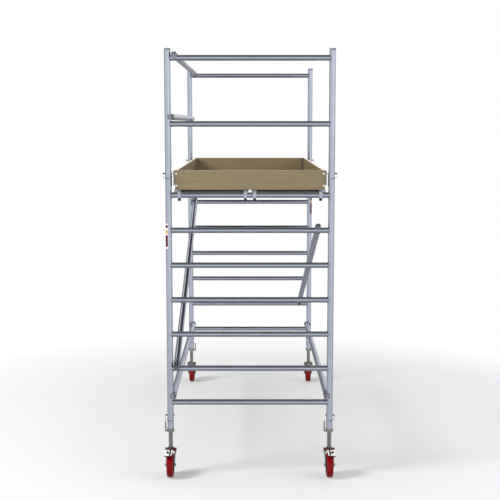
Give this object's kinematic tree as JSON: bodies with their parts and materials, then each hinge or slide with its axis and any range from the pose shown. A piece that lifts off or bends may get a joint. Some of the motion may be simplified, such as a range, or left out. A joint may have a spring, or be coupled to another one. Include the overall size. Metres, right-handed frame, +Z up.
{
  "type": "mobile scaffold tower",
  "caption": "Mobile aluminium scaffold tower: ladder frames, braces, guard rails, two deck platforms inside toe boards, and screw-adjustable legs on braked castors.",
  "frame": {"origin": "on the floor under the middle of the tower", "axes": "+Z up, +Y along the deck from the front frame to the rear frame, X across the frames"},
  "size_m": [1.396, 3.37, 3.456],
  "materials": {
    "aluminium_tube": "extruded aluminium, lightly brushed along the tube",
    "aluminium_beam": "extruded aluminium, mill finish",
    "cast_aluminium": "die-cast aluminium, slightly grainy",
    "deck_plywood": "film-faced plywood with a fine anti-slip pattern",
    "toe_board_plywood": "varnished plywood",
    "zinc_steel": "zinc-plated steel",
    "red_wheel": "red cast nylon, satin",
    "red_paint": "red powder coat worn on the tread",
    "black_plastic": "moulded nylon, fine grain",
    "black_steel": "black powder-coated steel"
  },
  "bodies": {
    "root": {"front_frame": "aluminium_tube", "rear_frame": "aluminium_tube", "front_guardrail_frame": "aluminium_tube", "rear_guardrail_frame": "aluminium_tube", "post_caps": "black_plastic", "leg_tubes": "aluminium_tube", "brace_tubes": "aluminium_tube", "brace_claws": "cast_aluminium", "platform_frames": "aluminium_beam", "deck_panels": "deck_plywood", "platform_hooks": "cast_aluminium", "toe_boards": "toe_board_plywood", "toe_board_brackets": "cast_aluminium", "toe_board_bolts": "zinc_steel"},
    "trapdoor": {"trapdoor": "deck_plywood"},
    "trapdoor_ring": {"trapdoor_ring": "zinc_steel"},
    "leg_screw_front_left": {"leg_screw_front_left": "zinc_steel"},
    "leg_screw_front_right": {"leg_screw_front_right": "zinc_steel"},
    "leg_screw_rear_left": {"leg_screw_rear_left": "zinc_steel"},
    "leg_screw_rear_right": {"leg_screw_rear_right": "zinc_steel"},
    "leg_nut_front_left": {"leg_nut_front_left": "zinc_steel"},
    "leg_nut_front_right": {"leg_nut_front_right": "zinc_steel"},
    "leg_nut_rear_left": {"leg_nut_rear_left": "zinc_steel"},
    "leg_nut_rear_right": {"leg_nut_rear_right": "zinc_steel"},
    "castor_fork_front_left": {"castor_fork_front_left": "zinc_steel"},
    "castor_fork_front_right": {"castor_fork_front_right": "zinc_steel"},
    "castor_fork_rear_left": {"castor_fork_rear_left": "zinc_steel"},
    "castor_fork_rear_right": {"castor_fork_rear_right": "zinc_steel"},
    "castor_wheel_front_left": {"castor_wheel_front_left": "red_wheel"},
    "castor_wheel_front_right": {"castor_wheel_front_right": "red_wheel"},
    "castor_wheel_rear_left": {"castor_wheel_rear_left": "red_wheel"},
    "castor_wheel_rear_right": {"castor_wheel_rear_right": "red_wheel"},
    "brake_pedal_front_left": {"brake_pedal_front_left": "red_paint"},
    "brake_pedal_front_right": {"brake_pedal_front_right": "red_paint"},
    "brake_pedal_rear_left": {"brake_pedal_rear_left": "red_paint"},
    "brake_pedal_rear_right": {"brake_pedal_rear_right": "red_paint"},
    "lower_pin_front_left": {"lower_pin_front_left": "zinc_steel"},
    "lower_pin_front_right": {"lower_pin_front_right": "zinc_steel"},
    "lower_pin_rear_left": {"lower_pin_rear_left": "zinc_steel"},
    "lower_pin_rear_right": {"lower_pin_rear_right": "zinc_steel"},
    "upper_pin_front_left": {"upper_pin_front_left": "zinc_steel"},
    "upper_pin_front_right": {"upper_pin_front_right": "zinc_steel"},
    "upper_pin_rear_left": {"upper_pin_rear_left": "zinc_steel"},
    "upper_pin_rear_right": {"upper_pin_rear_right": "zinc_steel"},
    "wind_lock_front_left": {"wind_lock_front_left": "black_plastic"},
    "wind_lock_front_right": {"wind_lock_front_right": "black_plastic"},
    "wind_lock_rear_left": {"wind_lock_rear_left": "black_plastic"},
    "wind_lock_rear_right": {"wind_lock_rear_right": "black_plastic"},
    "claw_pawl_low_left_front": {"claw_pawl_low_left_front": "black_steel"},
    "claw_pawl_low_left_rear": {"claw_pawl_low_left_rear": "black_steel"},
    "claw_pawl_low_right_front": {"claw_pawl_low_right_front": "black_steel"},
    "claw_pawl_low_right_rear": {"claw_pawl_low_right_rear": "black_steel"},
    "claw_pawl_diagonal_left_front": {"claw_pawl_diagonal_left_front": "black_steel"},
    "claw_pawl_diagonal_left_rear": {"claw_pawl_diagonal_left_rear": "black_steel"},
    "claw_pawl_diagonal_right_front": {"claw_pawl_diagonal_right_front": "black_steel"},
    "claw_pawl_diagonal_right_rear": {"claw_pawl_diagonal_right_rear": "black_steel"},
    "claw_pawl_guard_mid_front": {"claw_pawl_guard_mid_front": "black_steel"},
    "claw_pawl_guard_mid_rear": {"claw_pawl_guard_mid_rear": "black_steel"},
    "claw_pawl_guard_top_front": {"claw_pawl_guard_top_front": "black_steel"},
    "claw_pawl_guard_top_rear": {"claw_pawl_guard_top_rear": "black_steel"}
  },
  "joints": [
    {"name": "trapdoor_hinge", "type": "hinge", "parent": "root", "child": "trapdoor", "pos_m": [0.5405, -0.87, 2.3495], "axis": [0, 1, 0], "range_deg": [0, 90]},
    {"name": "trapdoor_ring_swing", "type": "hinge", "parent": "trapdoor", "child": "trapdoor_ring", "pos_m": [0.127, -0.87, 2.3406], "axis": [0, 1, 0], "range_deg": [0, 90]},
    {"name": "leg_height_front_left", "type": "slide", "parent": "root", "child": "leg_screw_front_left", "axis": [0, 0, 1], "range_m": [-0.15, 0.11]},
    {"name": "leg_height_front_right", "type": "slide", "parent": "root", "child": "leg_screw_front_right", "axis": [0, 0, 1], "range_m": [-0.15, 0.11]},
    {"name": "leg_height_rear_left", "type": "slide", "parent": "root", "child": "leg_screw_rear_left", "axis": [0, 0, 1], "range_m": [-0.15, 0.11]},
    {"name": "leg_height_rear_right", "type": "slide", "parent": "root", "child": "leg_screw_rear_right", "axis": [0, 0, 1], "range_m": [-0.15, 0.11]},
    {"name": "castor_swivel_front_left", "type": "hinge", "parent": "leg_screw_front_left", "child": "castor_fork_front_left", "pos_m": [-0.65, -1.525, 0.21], "axis": [0, 0, 1], "continuous": true},
    {"name": "castor_swivel_front_right", "type": "hinge", "parent": "leg_screw_front_right", "child": "castor_fork_front_right", "pos_m": [0.65, -1.525, 0.21], "axis": [0, 0, 1], "continuous": true},
    {"name": "castor_swivel_rear_left", "type": "hinge", "parent": "leg_screw_rear_left", "child": "castor_fork_rear_left", "pos_m": [-0.65, 1.525, 0.21], "axis": [0, 0, 1], "continuous": true},
    {"name": "castor_swivel_rear_right", "type": "hinge", "parent": "leg_screw_rear_right", "child": "castor_fork_rear_right", "pos_m": [0.65, 1.525, 0.21], "axis": [0, 0, 1], "continuous": true},
    {"name": "wheel_spin_front_left", "type": "hinge", "parent": "castor_fork_front_left", "child": "castor_wheel_front_left", "pos_m": [-0.65, -1.585, 0.1], "axis": [1, 0, 0], "continuous": true},
    {"name": "wheel_spin_front_right", "type": "hinge", "parent": "castor_fork_front_right", "child": "castor_wheel_front_right", "pos_m": [0.65, -1.585, 0.1], "axis": [1, 0, 0], "continuous": true},
    {"name": "wheel_spin_rear_left", "type": "hinge", "parent": "castor_fork_rear_left", "child": "castor_wheel_rear_left", "pos_m": [-0.65, 1.585, 0.1], "axis": [1, 0, 0], "continuous": true},
    {"name": "wheel_spin_rear_right", "type": "hinge", "parent": "castor_fork_rear_right", "child": "castor_wheel_rear_right", "pos_m": [0.65, 1.585, 0.1], "axis": [1, 0, 0], "continuous": true},
    {"name": "brake_press_front_left", "type": "hinge", "parent": "castor_fork_front_left", "child": "brake_pedal_front_left", "pos_m": [-0.65, -1.525, 0.2185], "axis": [1, 0, 0], "range_deg": [0, 7]},
    {"name": "brake_press_front_right", "type": "hinge", "parent": "castor_fork_front_right", "child": "brake_pedal_front_right", "pos_m": [0.65, -1.525, 0.2185], "axis": [1, 0, 0], "range_deg": [0, 7]},
    {"name": "brake_press_rear_left", "type": "hinge", "parent": "castor_fork_rear_left", "child": "brake_pedal_rear_left", "pos_m": [-0.65, 1.525, 0.2185], "axis": [-1, 0, 0], "range_deg": [0, 7]},
    {"name": "brake_press_rear_right", "type": "hinge", "parent": "castor_fork_rear_right", "child": "brake_pedal_rear_right", "pos_m": [0.65, 1.525, 0.2185], "axis": [-1, 0, 0], "range_deg": [0, 7]},
    {"name": "upper_pin_pull_front_left", "type": "slide", "parent": "root", "child": "upper_pin_front_left", "axis": [-1, 0, 0], "range_m": [0, 0.08]},
    {"name": "upper_pin_pull_front_right", "type": "slide", "parent": "root", "child": "upper_pin_front_right", "axis": [1, 0, 0], "range_m": [0, 0.08]},
    {"name": "upper_pin_pull_rear_left", "type": "slide", "parent": "root", "child": "upper_pin_rear_left", "axis": [-1, 0, 0], "range_m": [0, 0.08]},
    {"name": "upper_pin_pull_rear_right", "type": "slide", "parent": "root", "child": "upper_pin_rear_right", "axis": [1, 0, 0], "range_m": [0, 0.08]},
    {"name": "wind_lock_swing_front_left", "type": "hinge", "parent": "root", "child": "wind_lock_front_left", "pos_m": [-0.3, -1.49, 2.284], "axis": [1, 0, 0], "range_deg": [0, 60], "stiffness_Nm_per_rad": 0.3, "springref_deg": -45.84},
    {"name": "wind_lock_swing_front_right", "type": "hinge", "parent": "root", "child": "wind_lock_front_right", "pos_m": [0.3, -1.49, 2.284], "axis": [1, 0, 0], "range_deg": [0, 60], "stiffness_Nm_per_rad": 0.3, "springref_deg": -45.84},
    {"name": "wind_lock_swing_rear_left", "type": "hinge", "parent": "root", "child": "wind_lock_rear_left", "pos_m": [-0.3, 1.49, 2.284], "axis": [-1, 0, 0], "range_deg": [0, 60], "stiffness_Nm_per_rad": 0.3, "springref_deg": -45.84},
    {"name": "wind_lock_swing_rear_right", "type": "hinge", "parent": "root", "child": "wind_lock_rear_right", "pos_m": [0.3, 1.49, 2.284], "axis": [-1, 0, 0], "range_deg": [0, 60], "stiffness_Nm_per_rad": 0.3, "springref_deg": -45.84},
    {"name": "lower_pin_pull_front_left", "type": "slide", "parent": "root", "child": "lower_pin_front_left", "axis": [-1, 0, 0], "range_m": [0, 0.08]},
    {"name": "lower_pin_pull_front_right", "type": "slide", "parent": "root", "child": "lower_pin_front_right", "axis": [1, 0, 0], "range_m": [0, 0.08]},
    {"name": "lower_pin_pull_rear_left", "type": "slide", "parent": "root", "child": "lower_pin_rear_left", "axis": [-1, 0, 0], "range_m": [0, 0.08]},
    {"name": "lower_pin_pull_rear_right", "type": "slide", "parent": "root", "child": "lower_pin_rear_right", "axis": [1, 0, 0], "range_m": [0, 0.08]},
    {"name": "claw_pawl_low_left_front_swing", "type": "hinge", "parent": "root", "child": "claw_pawl_low_left_front", "pos_m": [-0.659, -1.487, 0.662], "axis": [0, 0, -1], "range_deg": [0, 50], "stiffness_Nm_per_rad": 0.1, "springref_deg": -45.84},
    {"name": "claw_pawl_low_left_rear_swing", "type": "hinge", "parent": "root", "child": "claw_pawl_low_left_rear", "pos_m": [-0.659, 1.487, 0.662], "axis": [0, 0, 1], "range_deg": [0, 50], "stiffness_Nm_per_rad": 0.1, "springref_deg": -45.84},
    {"name": "claw_pawl_low_right_front_swing", "type": "hinge", "parent": "root", "child": "claw_pawl_low_right_front", "pos_m": [0.659, -1.487, 0.662], "axis": [0, 0, 1], "range_deg": [0, 50], "stiffness_Nm_per_rad": 0.1, "springref_deg": -45.84},
    {"name": "claw_pawl_low_right_rear_swing", "type": "hinge", "parent": "root", "child": "claw_pawl_low_right_rear", "pos_m": [0.659, 1.487, 0.662], "axis": [0, 0, -1], "range_deg": [0, 50], "stiffness_Nm_per_rad": 0.1, "springref_deg": -45.84},
    {"name": "claw_pawl_diagonal_left_front_swing", "type": "hinge", "parent": "root", "child": "claw_pawl_diagonal_left_front", "pos_m": [-0.596, -1.48624, 0.89674], "axis": [1, 0, 0], "range_deg": [0, 50], "stiffness_Nm_per_rad": 0.1, "springref_deg": -45.84},
    {"name": "claw_pawl_diagonal_left_rear_swing", "type": "hinge", "parent": "root", "child": "claw_pawl_diagonal_left_rear", "pos_m": [-0.596, 1.49248, 1.99838], "axis": [-1, 0, 0], "range_deg": [0, 50], "stiffness_Nm_per_rad": 0.1, "springref_deg": -45.84},
    {"name": "claw_pawl_diagonal_right_front_swing", "type": "hinge", "parent": "root", "child": "claw_pawl_diagonal_right_front", "pos_m": [0.545, -1.49248, 1.99838], "axis": [1, 0, 0], "range_deg": [0, 50], "stiffness_Nm_per_rad": 0.1, "springref_deg": -45.84},
    {"name": "claw_pawl_diagonal_right_rear_swing", "type": "hinge", "parent": "root", "child": "claw_pawl_diagonal_right_rear", "pos_m": [0.545, 1.48624, 0.89674], "axis": [-1, 0, 0], "range_deg": [0, 50], "stiffness_Nm_per_rad": 0.1, "springref_deg": -45.84},
    {"name": "claw_pawl_guard_mid_front_swing", "type": "hinge", "parent": "root", "child": "claw_pawl_guard_mid_front", "pos_m": [-0.659, -1.487, 2.921], "axis": [0, 0, -1], "range_deg": [0, 50], "stiffness_Nm_per_rad": 0.1, "springref_deg": -45.84},
    {"name": "claw_pawl_guard_mid_rear_swing", "type": "hinge", "parent": "root", "child": "claw_pawl_guard_mid_rear", "pos_m": [-0.659, 1.487, 2.921], "axis": [0, 0, 1], "range_deg": [0, 50], "stiffness_Nm_per_rad": 0.1, "springref_deg": -45.84},
    {"name": "claw_pawl_guard_top_front_swing", "type": "hinge", "parent": "root", "child": "claw_pawl_guard_top_front", "pos_m": [-0.596, -1.487, 3.372], "axis": [1, 0, 0], "range_deg": [0, 50], "stiffness_Nm_per_rad": 0.1, "springref_deg": -45.84},
    {"name": "claw_pawl_guard_top_rear_swing", "type": "hinge", "parent": "root", "child": "claw_pawl_guard_top_rear", "pos_m": [-0.596, 1.487, 3.372], "axis": [-1, 0, 0], "range_deg": [0, 50], "stiffness_Nm_per_rad": 0.1, "springref_deg": -45.84},
    {"name": "leg_nut_turn_front_left", "type": "hinge", "parent": "root", "child": "leg_nut_front_left", "pos_m": [-0.65, -1.525, 0.376], "axis": [0, 0, 1], "range_deg": [-4951, 6751]},
    {"name": "leg_nut_turn_front_right", "type": "hinge", "parent": "root", "child": "leg_nut_front_right", "pos_m": [0.65, -1.525, 0.376], "axis": [0, 0, 1], "range_deg": [-4951, 6751]},
    {"name": "leg_nut_turn_rear_left", "type": "hinge", "parent": "root", "child": "leg_nut_rear_left", "pos_m": [-0.65, 1.525, 0.376], "axis": [0, 0, 1], "range_deg": [-4951, 6751]},
    {"name": "leg_nut_turn_rear_right", "type": "hinge", "parent": "root", "child": "leg_nut_rear_right", "pos_m": [0.65, 1.525, 0.376], "axis": [0, 0, 1], "range_deg": [-4951, 6751]}
  ],
  "couplings": [
    {"joint": "leg_nut_turn_front_left", "follows": "leg_height_front_left", "rad_per_m": -785.4},
    {"joint": "leg_nut_turn_front_right", "follows": "leg_height_front_right", "rad_per_m": -785.4},
    {"joint": "leg_nut_turn_rear_left", "follows": "leg_height_rear_left", "rad_per_m": -785.4},
    {"joint": "leg_nut_turn_rear_right", "follows": "leg_height_rear_right", "rad_per_m": -785.4}
  ]
}
